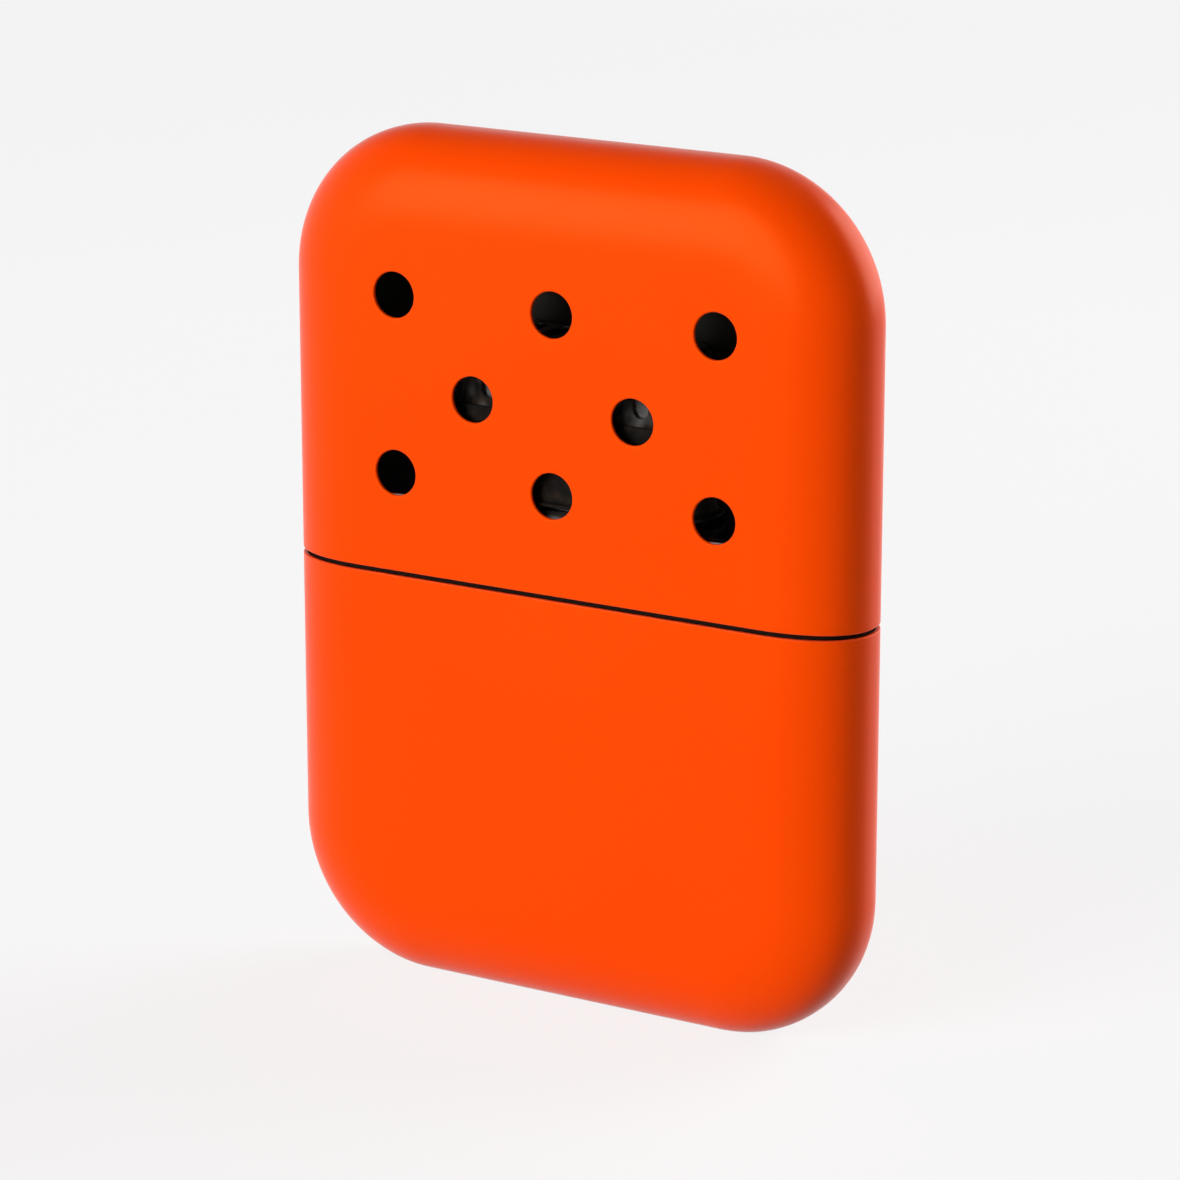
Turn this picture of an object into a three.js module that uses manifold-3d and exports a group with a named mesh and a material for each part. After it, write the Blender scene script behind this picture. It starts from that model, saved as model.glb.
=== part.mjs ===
// Catalytic hand warmer: a flat pocket case of two drawn metal shells.
// The vented lid pulls up off a plated collar. On the collar's neck sits a catalytic burner, and the
// lower shell is the fuel tank, packed with cotton. Millimetres, +Z up, the front faces -Y, and the
// origin is the middle of the foot.
import * as THREE from "three";
import { mergeVertices } from "three/addons/utils/BufferGeometryUtils.js";
import Module from "manifold-3d";

const wasm = await Module();
wasm.setup();

// Outer form, shared by the lid and the lower case
const width = 70;
const height = 94.6;
const depth = 13.2;
const cornerRadius = 16.6; // of the outline, seen from the front
const edgeBand = 10.8; // how far the rounded edge reaches in over the face
const edgePower = 2.3; // fullness of that rounding, 2 is a plain ellipse
const footTrim = 0.5; // depth of the flat on which the case stands
const sheet = 0.5; // metal of both drawn shells
const splitHeight = 46.4; // middle of the joint line
const splitGap = 0.5; // width of the joint line

// Vents in the lid's front
const ventDiameter = 5;
const ventColumnPitch = 19.6;
const ventRowPitch = 19.5; // from the upper to the lower row of three
const ventLowerRise = 11.2; // lower row above the joint line
const ventMiddleDrop = 0.5; // the row of two sits this much below the middle

// Fits
const slipFit = 0.25; // all round between shells that slide into each other
const seatGap = 0.3; // between pieces that rest on each other
const overrun = 1; // how far cutting bodies run past what they cut

// Collar, the plated inner shell that the lid slides over
const collarSheet = 0.4;
const collarRise = 9; // shoulder above the joint line
const collarSkirt = 7; // below the joint line, inside the lower case
const shoulderRadius = 1.4;
const bumpRadius = 3; // of the sphere that a friction bump is part of
const bumpHeight = 0.13;
const bumpSpread = 38; // between the two bumps of a face
const bumpRise = 4.6; // above the joint line

// Neck, a stadium tube that stands in the shoulder
const neckLength = 30;
const neckBreadth = 8;
const neckSheet = 0.4;
const neckRise = 7.5; // above the shoulder
const neckFlange = 0.7; // how far its foot reaches out under the shoulder
const neckLip = 0.35; // radius on the neck's mouth

// Fuel packing
const wickDepth = 5.3; // from the neck's mouth down to the felt
const wickLength = 4.7; // height of the felt
const cottonLayers = 3;
const cottonSlack = 0.3; // between the cotton and the metal round it

// Burner, which slides over the neck
const burnerSheet = 0.4;
const burnerLip = 0.8; // flare at its foot, for finger and nail
const burnerLipRadius = 0.9;
const burnerFootGap = 0.6; // foot above the shoulder
const burnerRim = 2.2; // rim above the ledge, round the cage
const ledgeReach = 1.4; // how far the ledge reaches in over the neck's mouth
const cageHeight = 10;
const cageRadius = 1.1; // round the cage's top edge
const windowWidth = 1.9;
const windowHeight = 5;
const windowPitch = 3.1;
const windowRise = 2.7; // window's foot above the cage's foot
const windowCount = 7;
const topSlotLength = 4.8;
const endWindowWidth = 2.2;
const screenSheet = 0.3;
const screenHole = 1.3;
const screenPitch = 2.4;
const screenColumns = 9;
const screenRows = 3;
const padCrown = 0.8; // radius round the fibre pad's edges
const padHeadroom = 1; // over the fibre pad, under the cage's top

// Steps in the round stretches
const cornerSteps = 12;
const bandSteps = 8;
const bendSteps = 4;
const stadiumSteps = 10; // in each round end of a stadium
const ventSteps = 28;
const slotSteps = 5;
const screenHoleSteps = 8;

// Heights that several pieces share
const lidFoot = splitHeight + splitGap / 2;
const caseRim = splitHeight - splitGap / 2;
const shoulderTop = splitHeight + collarRise;
const neckTop = shoulderTop + neckRise;
const flangeTop = shoulderTop - collarSheet - seatGap;
const ledgeTop = neckTop + seatGap + burnerSheet;
const cageFoot = ledgeTop + seatGap;
const cageTop = cageFoot + cageHeight;
const collarInset = sheet + slipFit; // from the outer form to the collar's outside

// Solids and meshes
function solid(geometry) {
  const bare = geometry.index ? geometry.toNonIndexed() : geometry.clone();
  for (const name of Object.keys(bare.attributes)) if (name !== "position") bare.deleteAttribute(name);
  const merged = mergeVertices(bare, overrun / 10000);
  const index = merged.index.array;
  const kept = [];
  for (let i = 0; i < index.length; i += 3) {
    const [a, b, c] = [index[i], index[i + 1], index[i + 2]];
    if (a !== b && b !== c && c !== a) kept.push(a, b, c);
  }
  return new wasm.Manifold(
    new wasm.Mesh({
      numProp: 3,
      vertProperties: merged.attributes.position.array,
      triVerts: new Uint32Array(kept),
    }),
  );
}

function node(name, manifold, material) {
  const made = manifold.getMesh();
  const geometry = new THREE.BufferGeometry();
  geometry.setAttribute("position", new THREE.BufferAttribute(new Float32Array(made.vertProperties), 3));
  geometry.setIndex(new THREE.BufferAttribute(new Uint32Array(made.triVerts), 1));
  const mesh = new THREE.Mesh(geometry, material);
  mesh.name = name;
  geometry.computeVertexNormals();
  return mesh;
}

// A closed skin over rings that all have the same number of points, with flat ends.
function loft(rings) {
  const count = rings[0].length;
  const corners = [];
  for (let k = 0; k + 1 < rings.length; k++)
    for (let i = 0; i < count; i++) {
      const j = (i + 1) % count;
      corners.push(rings[k][i], rings[k][j], rings[k + 1][j]);
      corners.push(rings[k][i], rings[k + 1][j], rings[k + 1][i]);
    }
  const last = rings[rings.length - 1];
  for (let i = 1; i + 1 < count; i++) {
    corners.push(rings[0][0], rings[0][i + 1], rings[0][i]);
    corners.push(last[0], last[i], last[i + 1]);
  }
  return solid(new THREE.BufferGeometry().setFromPoints(corners));
}

// A box between two heights that reaches past the object sideways.
function slab(low, high) {
  const box = new THREE.BoxGeometry(width + depth, width + depth, high - low);
  return solid(box.translate(0, 0, (low + high) / 2));
}

// The rounded edge, from the outline at mid depth to the face, for a form set in by inset.
function edgeProfile(inset) {
  const points = [];
  for (let i = 0; i <= bandSteps; i++) {
    const turn = ((i / bandSteps) * Math.PI) / 2;
    const across = i === bandSteps ? 0 : Math.cos(turn) ** (2 / edgePower);
    points.push({
      back: (edgeBand - inset) * (1 - across),
      out: (depth / 2 - inset) * Math.sin(turn) ** (2 / edgePower),
    });
  }
  return points;
}

// The same edge from the front face round to the back face.
function wholeEdge(inset) {
  const half = edgeProfile(inset);
  const front = half.slice(1).reverse();
  return [
    ...front.map((p) => ({ back: p.back, y: -p.out })),
    ...half.map((p) => ({ back: p.back, y: p.out })),
  ];
}

// The round-cornered outline at one depth, seen from the front.
function outline(inset, y) {
  const radius = cornerRadius - inset;
  const middleX = width / 2 - inset - radius;
  const lowZ = inset - footTrim + radius;
  const highZ = height - inset - radius;
  const centres = [
    [middleX, highZ],
    [-middleX, highZ],
    [-middleX, lowZ],
    [middleX, lowZ],
  ];
  const ring = [];
  centres.forEach(([x, z], quarter) => {
    for (let i = 0; i <= cornerSteps; i++) {
      const turn = ((quarter + i / cornerSteps) * Math.PI) / 2;
      ring.push(new THREE.Vector3(x + radius * Math.cos(turn), y, z + radius * Math.sin(turn)));
    }
  });
  return ring;
}

// The whole outer form set in by inset, standing on its flat foot.
function pebble(inset) {
  const rings = wholeEdge(inset).map(({ back, y }) => outline(inset + back, y));
  return loft(rings.reverse()).intersect(slab(inset, height));
}

// The form's level section through its straight stretch, set in by inset.
function section(inset, z) {
  const edge = wholeEdge(inset);
  const reach = width / 2 - inset;
  const right = edge.map(({ back, y }) => new THREE.Vector3(reach - back, y, z));
  const left = edge.map(({ back, y }) => new THREE.Vector3(back - reach, y, z));
  return [...right, ...left.reverse()];
}

// An upright cup with that section, closed by a rounded shoulder at the top.
function shoulderedCup(inset, low, top, radius) {
  const rings = [section(inset, low)];
  for (let i = 0; i <= bendSteps; i++) {
    const turn = ((i / bendSteps) * Math.PI) / 2;
    rings.push(section(inset + radius * (1 - Math.cos(turn)), top - radius + radius * Math.sin(turn)));
  }
  return loft(rings);
}

// A profile of [radius, height] points revolved and stretched along X, as stadium pressings are.
// It closes on itself, or starts and ends on the axis.
function stretchedLathe(profile, run) {
  const onAxis = profile[0][0] === 0;
  const stations = [];
  for (const side of [1, -1])
    for (let i = 0; i <= stadiumSteps; i++) {
      const turn = (i / stadiumSteps - 1 / 2) * Math.PI + (side > 0 ? 0 : Math.PI);
      stations.push(
        profile.map(([r, z]) => new THREE.Vector3(side * run + r * Math.cos(turn), r * Math.sin(turn), z)),
      );
    }
  const corners = [];
  const count = profile.length;
  stations.forEach((here, s) => {
    const next = stations[(s + 1) % stations.length];
    for (let i = 0; i < (onAxis ? count - 1 : count); i++) {
      const j = (i + 1) % count;
      corners.push(here[i], next[i], next[j], here[i], next[j], here[j]);
    }
  });
  return solid(new THREE.BufferGeometry().setFromPoints(corners));
}

// Points of a round bend about [r, z], from one angle to another, in quarter turns.
function bend(r, z, radius, from, to) {
  const points = [];
  for (let i = 0; i <= bendSteps; i++) {
    const turn = ((from + ((to - from) * i) / bendSteps) * Math.PI) / 2;
    points.push([r + radius * Math.cos(turn), z + radius * Math.sin(turn)]);
  }
  return points;
}

// A bar with round ends, lengthwise along X, thick along Z.
function roundBar(length, breadth, low, high, steps) {
  const radius = breadth / 2;
  const run = length / 2 - radius;
  const shape = new THREE.Shape();
  shape.absarc(run, 0, radius, -Math.PI / 2, Math.PI / 2);
  shape.absarc(-run, 0, radius, Math.PI / 2, (Math.PI * 3) / 2);
  const options = { depth: high - low, bevelEnabled: false, curveSegments: steps };
  return new THREE.ExtrudeGeometry(shape, options).translate(0, 0, low);
}

// Lid
function ventPlaces() {
  const lower = splitHeight + ventLowerRise;
  const middle = lower + ventRowPitch / 2 - ventMiddleDrop;
  const places = [];
  for (const column of [-1, 0, 1])
    for (const z of [lower, lower + ventRowPitch]) places.push([column * ventColumnPitch, z]);
  for (const side of [-1, 1]) places.push([(side * ventColumnPitch) / 2, middle]);
  return places;
}

function lidShell() {
  let lid = pebble(0)
    .subtract(pebble(sheet))
    .intersect(slab(lidFoot, height + overrun));
  const radius = ventDiameter / 2;
  const reach = depth / 2 + overrun;
  for (const [x, z] of ventPlaces()) {
    const punch = new THREE.CylinderGeometry(radius, radius, reach, ventSteps);
    lid = lid.subtract(solid(punch.translate(x, -reach / 2, z)));
  }
  return lid;
}

// Lower case
function lowerCase() {
  return pebble(0)
    .subtract(pebble(sheet))
    .intersect(slab(-overrun, caseRim));
}

// Collar
const neckBore = neckBreadth / 2 - neckSheet;
const neckRun = (neckLength - neckBreadth) / 2;

function collarShell() {
  const low = splitHeight - collarSkirt;
  let collar = shoulderedCup(collarInset, low, shoulderTop, shoulderRadius);
  for (const x of [-bumpSpread / 2, bumpSpread / 2])
    for (const side of [-1, 1]) {
      const y = side * (depth / 2 - collarInset + bumpHeight - bumpRadius);
      const bump = new THREE.SphereGeometry(bumpRadius, ventSteps, ventSteps);
      collar = collar.add(solid(bump.rotateX(Math.PI / 2).translate(x, y, splitHeight + bumpRise)));
    }
  const inner = collarInset + collarSheet;
  const hollowTop = shoulderTop - collarSheet;
  collar = collar.subtract(shoulderedCup(inner, low - overrun, hollowTop, shoulderRadius - collarSheet));
  const mouth = roundBar(
    neckLength + 2 * slipFit,
    neckBreadth + 2 * slipFit,
    hollowTop - overrun,
    shoulderTop + overrun,
    stadiumSteps,
  );
  return collar.subtract(solid(mouth));
}

// Neck
function neckTube() {
  const outer = neckBreadth / 2;
  const flange = outer + neckFlange;
  const profile = [
    [neckBore, flangeTop - neckSheet],
    [flange, flangeTop - neckSheet],
    [flange, flangeTop],
    [outer, flangeTop],
    ...bend(outer - neckLip, neckTop - neckLip, neckLip, 0, 1),
    [neckBore, neckTop],
  ];
  return stretchedLathe(profile, neckRun);
}

// Felt wick in the neck
function wickPad() {
  const top = neckTop - wickDepth;
  const breadth = 2 * (neckBore - cottonSlack);
  return solid(roundBar(2 * neckRun + breadth, breadth, top - wickLength, top, stadiumSteps));
}

// Cotton in the tank, in layers from the foot to the felt
function cottonLayer(layer) {
  const bottom = sheet + cottonSlack;
  const collarFoot = splitHeight - collarSkirt;
  const top = neckTop - wickDepth - wickLength - seatGap;
  const widePart = (collarFoot - bottom) / (cottonLayers - 1);
  const last = layer === cottonLayers - 1;
  const low = bottom + layer * widePart;
  const high = last ? top : low + widePart - seatGap;
  const inset = last ? collarInset + collarSheet + cottonSlack : bottom;
  return pebble(inset).intersect(slab(low, high));
}

// Burner base, a skirt over the neck with a ledge that carries the catalyst
const skirtBore = neckBreadth / 2 + seatGap;

function burnerBase() {
  const outer = skirtBore + burnerSheet;
  const foot = shoulderTop + burnerFootGap;
  const ledge = skirtBore - ledgeReach;
  const flare = burnerLipRadius - burnerSheet;
  const profile = [
    ...bend(skirtBore + burnerLipRadius, foot + burnerLipRadius, burnerLipRadius, 2, 3),
    [skirtBore + burnerSheet + burnerLip, foot],
    [skirtBore + burnerSheet + burnerLip, foot + burnerSheet],
    ...bend(outer + flare, foot + burnerSheet + flare, flare, 3, 2),
    [outer, ledgeTop + burnerRim],
    [skirtBore, ledgeTop + burnerRim],
    [skirtBore, ledgeTop],
    [ledge, ledgeTop],
    [ledge, ledgeTop - burnerSheet],
    [skirtBore, ledgeTop - burnerSheet],
  ];
  return stretchedLathe(profile, neckRun);
}

// Burner cage, the windowed cap over the catalyst
const cageOuter = skirtBore - slipFit;
const cageBore = cageOuter - burnerSheet;

function windowPlaces() {
  const first = (-(windowCount - 1) * windowPitch) / 2;
  return Array.from({ length: windowCount }, (_, i) => first + i * windowPitch);
}

function burnerCage() {
  const innerRadius = cageRadius - burnerSheet;
  const innerTop = cageTop - burnerSheet;
  const profile = [
    [0, innerTop],
    ...bend(cageBore - innerRadius, innerTop - innerRadius, innerRadius, 1, 0),
    [cageBore, cageFoot],
    [cageOuter, cageFoot],
    ...bend(cageOuter - cageRadius, cageTop - cageRadius, cageRadius, 0, 1),
    [0, cageTop],
  ];
  let cage = stretchedLathe(profile, neckRun);
  const reach = 2 * cageOuter + 2 * overrun;
  const middle = cageFoot + windowRise + windowHeight / 2;
  for (const x of windowPlaces()) {
    const side = roundBar(windowHeight, windowWidth, -reach / 2, reach / 2, slotSteps);
    cage = cage.subtract(solid(side.rotateZ(Math.PI / 2).rotateX(Math.PI / 2).translate(x, 0, middle)));
    const top = roundBar(topSlotLength, windowWidth, innerTop - overrun, cageTop + overrun, slotSteps);
    cage = cage.subtract(solid(top.rotateZ(Math.PI / 2).translate(x, 0, 0)));
  }
  const length = 2 * (neckRun + cageOuter + overrun);
  const end = roundBar(windowHeight, endWindowWidth, -length / 2, length / 2, slotSteps);
  return cage.subtract(solid(end.rotateY(Math.PI / 2).translate(0, 0, middle)));
}

// Screen under the catalyst
const screenTop = cageFoot + screenSheet;

function catalystScreen() {
  const breadth = 2 * (cageBore - slipFit);
  let screen = solid(roundBar(2 * neckRun + breadth, breadth, cageFoot, screenTop, stadiumSteps));
  for (let row = 0; row < screenRows; row++)
    for (let column = 0; column < screenColumns; column++) {
      const x = (column - (screenColumns - 1) / 2) * screenPitch;
      const y = (row - (screenRows - 1) / 2) * screenPitch * (Math.sqrt(3) / 2);
      const shift = row % 2 ? screenPitch / 2 : 0;
      const radius = screenHole / 2;
      const hole = new THREE.CylinderGeometry(radius, radius, 2 * overrun, screenHoleSteps);
      screen = screen.subtract(solid(hole.rotateX(Math.PI / 2).translate(x + shift, y, screenTop)));
    }
  return screen;
}

// Platinum-coated glass fibre pad
function catalystPad() {
  const radius = cageBore - slipFit;
  const low = screenTop + seatGap;
  const high = cageTop - burnerSheet - padHeadroom;
  const profile = [
    [0, low],
    ...bend(radius - padCrown, low + padCrown, padCrown, -1, 0),
    ...bend(radius - padCrown, high - padCrown, padCrown, 0, 1),
    [0, high],
  ];
  return stretchedLathe(profile, neckRun);
}

// Materials
function metal(color, roughness, metalness) {
  return new THREE.MeshStandardMaterial({ color, roughness, metalness });
}
const orangePaint = metal(0xfe4b0c, 0.25, 0.1);
const brightPlate = metal(0xd9dbdd, 0.12, 1);
const burnerSteel = metal(0xaaa59e, 0.35, 1);
const glassFibre = metal(0x6e6c68, 0.95, 0);
const feltWool = metal(0xe6e1d4, 0.95, 0);
const cottonWool = metal(0xf2efe6, 1, 0);

// Assembly
const warmer = new THREE.Group();
const lid = new THREE.Group();
lid.add(node("lid_shell", lidShell(), orangePaint));

const tank = new THREE.Group();
tank.add(node("lower_case", lowerCase(), orangePaint));
tank.add(node("collar_shell", collarShell(), brightPlate));
tank.add(node("neck_tube", neckTube(), brightPlate));
tank.add(node("wick_felt", wickPad(), feltWool));
for (let layer = 0; layer < cottonLayers; layer++)
  tank.add(node("cotton_layer_" + (layer + 1), cottonLayer(layer), cottonWool));

const burner = new THREE.Group();
burner.add(node("burner_base", burnerBase(), burnerSteel));
burner.add(node("burner_cage", burnerCage(), burnerSteel));
burner.add(node("catalyst_screen", catalystScreen(), burnerSteel));
burner.add(node("catalyst_pad", catalystPad(), glassFibre));

warmer.add(tank, burner, lid);
export default warmer;
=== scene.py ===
import math
import random

import bmesh
import bpy
from mathutils import Matrix, Vector, noise


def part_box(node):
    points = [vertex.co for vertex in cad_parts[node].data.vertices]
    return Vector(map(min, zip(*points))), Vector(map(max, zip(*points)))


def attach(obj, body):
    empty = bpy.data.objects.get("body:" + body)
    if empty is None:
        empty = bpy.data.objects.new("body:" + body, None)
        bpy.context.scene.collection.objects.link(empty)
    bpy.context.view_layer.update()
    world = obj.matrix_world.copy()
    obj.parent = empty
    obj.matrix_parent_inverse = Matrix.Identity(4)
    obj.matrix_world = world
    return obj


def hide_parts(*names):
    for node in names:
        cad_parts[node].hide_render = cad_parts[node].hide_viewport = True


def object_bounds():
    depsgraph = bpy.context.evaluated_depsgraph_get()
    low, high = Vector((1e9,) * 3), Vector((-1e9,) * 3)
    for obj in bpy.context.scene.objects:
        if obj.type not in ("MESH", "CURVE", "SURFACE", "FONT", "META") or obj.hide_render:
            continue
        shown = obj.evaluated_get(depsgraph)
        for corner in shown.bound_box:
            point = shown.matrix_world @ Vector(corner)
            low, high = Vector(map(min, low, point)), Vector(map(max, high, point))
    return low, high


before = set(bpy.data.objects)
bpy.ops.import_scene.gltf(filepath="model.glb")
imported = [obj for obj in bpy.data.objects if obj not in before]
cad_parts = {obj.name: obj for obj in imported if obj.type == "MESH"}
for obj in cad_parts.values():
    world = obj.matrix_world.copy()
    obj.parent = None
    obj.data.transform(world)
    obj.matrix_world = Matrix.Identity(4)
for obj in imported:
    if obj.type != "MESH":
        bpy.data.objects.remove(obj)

cadLow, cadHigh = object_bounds()
mm = 0.001
quarter = math.pi / 2
print("frame loaded")


# A number that varies over a surface, so that sums on it are written as Python expressions.
class Varying:
    def __init__(self, finish, socket):
        self.finish = finish
        self.socket = socket

    def math(self, operation, *values):
        return self.finish.node("Math", {"operation": operation}, dict(enumerate(values)))

    def __add__(self, other):
        return self.math("ADD", self, other)

    __radd__ = __add__

    def __sub__(self, other):
        return self.math("SUBTRACT", self, other)

    def __rsub__(self, other):
        return self.math("SUBTRACT", other, self)

    def __mul__(self, other):
        return self.math("MULTIPLY", self, other)

    __rmul__ = __mul__

    def __truediv__(self, other):
        return self.math("DIVIDE", self, other)

    def __pow__(self, other):
        return self.math("POWER", self, other)

    def __abs__(self):
        return self.math("ABSOLUTE", self)

    def atLeast(self, other):
        return self.math("MAXIMUM", self, other)

    def clamped(self):
        return self.math("MINIMUM", self.atLeast(0), 1)


# The nodes of a material or of the world.
class Wiring:
    def __init__(self, owner):
        owner.use_nodes = True
        self.nodes = owner.node_tree.nodes
        self.links = owner.node_tree.links
        self.nodes.clear()

    # Adds any node: its settings first, then the values or links of its sockets.
    def node(self, kind, settings, sockets, output=0):
        made = self.nodes.new("ShaderNode" + kind)
        for key, value in settings.items():
            if key == "stops":
                ramp = made.color_ramp
                while len(ramp.elements) < len(value):
                    ramp.elements.new(0.5)
                for element, (position, tone) in zip(ramp.elements, value):
                    element.position = position
                    element.color = (*tone, 1)
            else:
                setattr(made, key, value)
        for key, value in sockets.items():
            if isinstance(value, Varying):
                self.links.new(value.socket, made.inputs[key])
            elif isinstance(value, tuple) and len(value) == 3 and made.inputs[key].type == "RGBA":
                made.inputs[key].default_value = (*value, 1)
            else:
                made.inputs[key].default_value = value
        return Varying(self, made.outputs[output]) if len(made.outputs) else None

    # 1 where the camera sees a surface or the world, straight, mirrored or through glass.
    def seen(self):
        rays = ("Is Camera Ray", "Is Glossy Ray", "Is Transmission Ray")
        straight, mirrored, passed = (self.node("LightPath", {}, {}, ray) for ray in rays)
        return straight.atLeast(mirrored).atLeast(passed)


class Finish(Wiring):
    def __init__(self, name):
        self.material = bpy.data.materials.new(name)
        super().__init__(self.material)
        self.place = self.node("TexCoord", {}, {}, "Object")

    # One coordinate of the place on the surface, in metres.
    def along(self, axis):
        return self.node("SeparateXYZ", {}, {"Vector": self.place}, axis.upper())

    def grain(self, scale, detail=2.0, stretch=(1, 1, 1), roughness=0.5):
        place = self.node("VectorMath", {"operation": "MULTIPLY"}, {0: self.place, 1: stretch})
        sockets = {"Vector": place, "Scale": scale, "Detail": detail, "Roughness": roughness}
        return self.node("TexNoise", {"noise_dimensions": "3D"}, sockets, "Fac")

    def blend(self, factor, low, high):
        return self.node("Mix", {"data_type": "RGBA"}, {"Factor": factor, 6: low, 7: high}, 2)

    def bump(self, height, distance):
        return self.node("Bump", {}, {"Height": height, "Distance": distance}, "Normal")

    def shade(self, sockets):
        shader = self.node("BsdfPrincipled", {}, sockets)
        self.node("OutputMaterial", {}, {"Surface": shader})
        return self.material


def srgb(red, green, blue):
    tones = [tone / 255 for tone in (red, green, blue)]
    return tuple(t / 12.92 if t <= 0.04045 else ((t + 0.055) / 1.055) ** 2.4 for t in tones)


# Finishes
enamel = {
    "tone": srgb(254, 74, 0),
    "deepTone": srgb(252, 69, 0),
    "cloudPitch": 30 * mm,
    "roughness": 0.30,
    "roughnessSpread": 0.08,
    "speckPitch": 2.2 * mm,
    "specular": 0.30,
    "glossTone": (1.0, 0.40, 0.06),
    "coat": 0.012,
    "coatRoughness": 0.14,
    "peelPitch": 1.3 * mm,
    "peelDepth": 0.004 * mm,
    # Bare inner sheet, darker than bare metal is, as painted shade that keeps the vents black.
    "bareInsideShadeTone": (0.16, 0.15, 0.14),
    "stainTone": (0.10, 0.085, 0.07),
    "stainPitch": 6 * mm,
    "insideMetal": 0.85,
    "insideRoughness": 0.2,
}


# Paint outside; where the mesh is marked as inside, the sheet's bare metal, darkened as painted shade.
def orangeEnamel():
    f = Finish("orangeEnamel")
    inside = f.node("Attribute", {"attribute_name": "inside"}, {}, "Fac")
    cloud = f.grain(1 / enamel["cloudPitch"], detail=1.0)
    paint = f.blend(cloud, enamel["tone"], enamel["deepTone"])
    stain = f.grain(1 / enamel["stainPitch"], detail=4.0)
    # Inside, the bare metal tone carries painted shade.
    tone = f.blend(inside, paint, f.blend(stain, enamel["bareInsideShadeTone"], enamel["stainTone"]))
    speck = f.grain(1 / enamel["speckPitch"], detail=3.0)
    peel = f.grain(1 / enamel["peelPitch"], detail=1.5)
    rough = enamel["roughness"] + enamel["roughnessSpread"] * (speck - 0.5)
    return f.shade({
        "Base Color": tone,
        "Roughness": rough + enamel["insideRoughness"] * inside,
        "Metallic": enamel["insideMetal"] * inside,
        "Specular IOR Level": enamel["specular"],
        "Specular Tint": (*enamel["glossTone"], 1),
        "Coat Weight": enamel["coat"] * (1 - inside),
        "Coat Roughness": enamel["coatRoughness"],
        "Normal": f.bump(peel, enamel["peelDepth"]),
    })


plate = {
    "tone": (0.62, 0.63, 0.64),
    "rubTone": (0.50, 0.50, 0.50),
    "roughness": 0.09,
    "specular": 0.05,
    "smudgePitch": 9 * mm,
    "smudgeRoughness": 0.12,
    "rubFrom": 0.45,
    "rubPitch": 0.5 * mm,
    "rubDepth": 0.003 * mm,
    "rubReach": 5.5 * mm,
    "rubRoughness": 0.10,
    # Painted shadow: the collar turns dark where the joint line between lid and case shows it.
    "seamShadowTone": (0.012, 0.006, 0.004),
    "seamHalf": 0.52 * mm,
    "seamEdge": 0.06 * mm,
    "seamRoughness": 0.5,
    # A dark patch on the shoulder: heat haze, and painted shade that hides the glint seen through the
    # lower vents.
    "hazeAndShadeTone": (0.03, 0.027, 0.024),
    "hazeAndShadeReach": 0.7 * mm,
    "hazeAndShadeHalf": 12 * mm,
    "hazeAndShadeStrength": 1.3,
    "hazeAndShadeSpread": 1.2,
    "hazeAndShadeRoughness": 0.45,
    "hazeAndShadeCover": 0.9,
}


# Bright plating, rubbed upright where the lid slides, with a painted shadow in the joint line, and a
# dark patch of heat haze and painted shade beside the burner on the shoulder, at the height given.
def brightPlate(name, seamHeight=None, hazeAndShadeHeight=None):
    f = Finish(name)
    smudge = f.grain(1 / plate["smudgePitch"], detail=3.0)
    rub = f.grain(1 / plate["rubPitch"], detail=2.0, stretch=(1, 1, 0.03))
    tone = f.blend((rub - plate["rubFrom"]).clamped(), plate["tone"], plate["rubTone"])
    rough = plate["roughness"] + plate["smudgeRoughness"] * smudge ** 2.0
    metal = 1.0
    if seamHeight is not None:
        off = abs(f.along("z") - seamHeight)
        rubbed = (1 - (f.along("z") - seamHeight) / plate["rubReach"]).clamped()
        # The joint line's band is painted shadow.
        seamShadow = ((plate["seamHalf"] - off) / plate["seamEdge"]).clamped()
        # The shoulder's patch is heat haze and painted shade.
        below = (hazeAndShadeHeight - f.along("z")) / plate["hazeAndShadeReach"]
        beside = (abs(f.along("x")) / plate["hazeAndShadeHalf"]) ** 4.0
        patches = plate["hazeAndShadeSpread"] * (smudge - 0.5)
        hazeAndShade = (plate["hazeAndShadeStrength"] - below - beside + patches).clamped()
        tone = f.blend(hazeAndShade, tone, plate["hazeAndShadeTone"])
        tone = f.blend(seamShadow, tone, plate["seamShadowTone"])
        rough = rough + plate["rubRoughness"] * rubbed * rub
        rough = rough + plate["seamRoughness"] * seamShadow + plate["hazeAndShadeRoughness"] * hazeAndShade
        metal = 1 - seamShadow.atLeast(plate["hazeAndShadeCover"] * hazeAndShade)
    return f.shade({
        "Base Color": tone,
        "Metallic": metal,
        "Roughness": rough,
        "Specular IOR Level": plate["specular"],
        "Normal": f.bump(rub, plate["rubDepth"]),
    })


steel = {
    "tone": (0.42, 0.40, 0.37),
    "strawTone": (0.36, 0.23, 0.12),
    "blueTone": (0.12, 0.15, 0.25),
    # Dark film on the long walls: fume residue, and painted shade that keeps the vents black.
    "sootAndShadeTone": (0.009, 0.008, 0.007),
    "bakedAndShadeTone": (0.030, 0.021, 0.015),
    "patchPitch": 5 * mm,
    "patchShare": 0.92,
    "roughness": 0.26,
    "specular": 0.03,
    "brushPitch": 0.35 * mm,
    "brushDepth": 0.004 * mm,
    "brushRoughness": 0.16,
    "tintReach": 9 * mm,
    "tintSpread": 0.5,
    "tintShare": 0.75,
    "strawAt": 0.45,
    "sootAndShadeFrom": 2.6 * mm,
    "sootAndShadeReach": 1.5 * mm,
    "sootAndShadeSpread": 1.4,
    "sootAndShadeCover": 0.9,
    "sootAndShadeRoughness": 0.15,
    "crustPitch": 1.4 * mm,
    "crustFrom": 0.45,
    "crustContrast": 3,
    "crustRoughness": 0.5,
}
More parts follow.
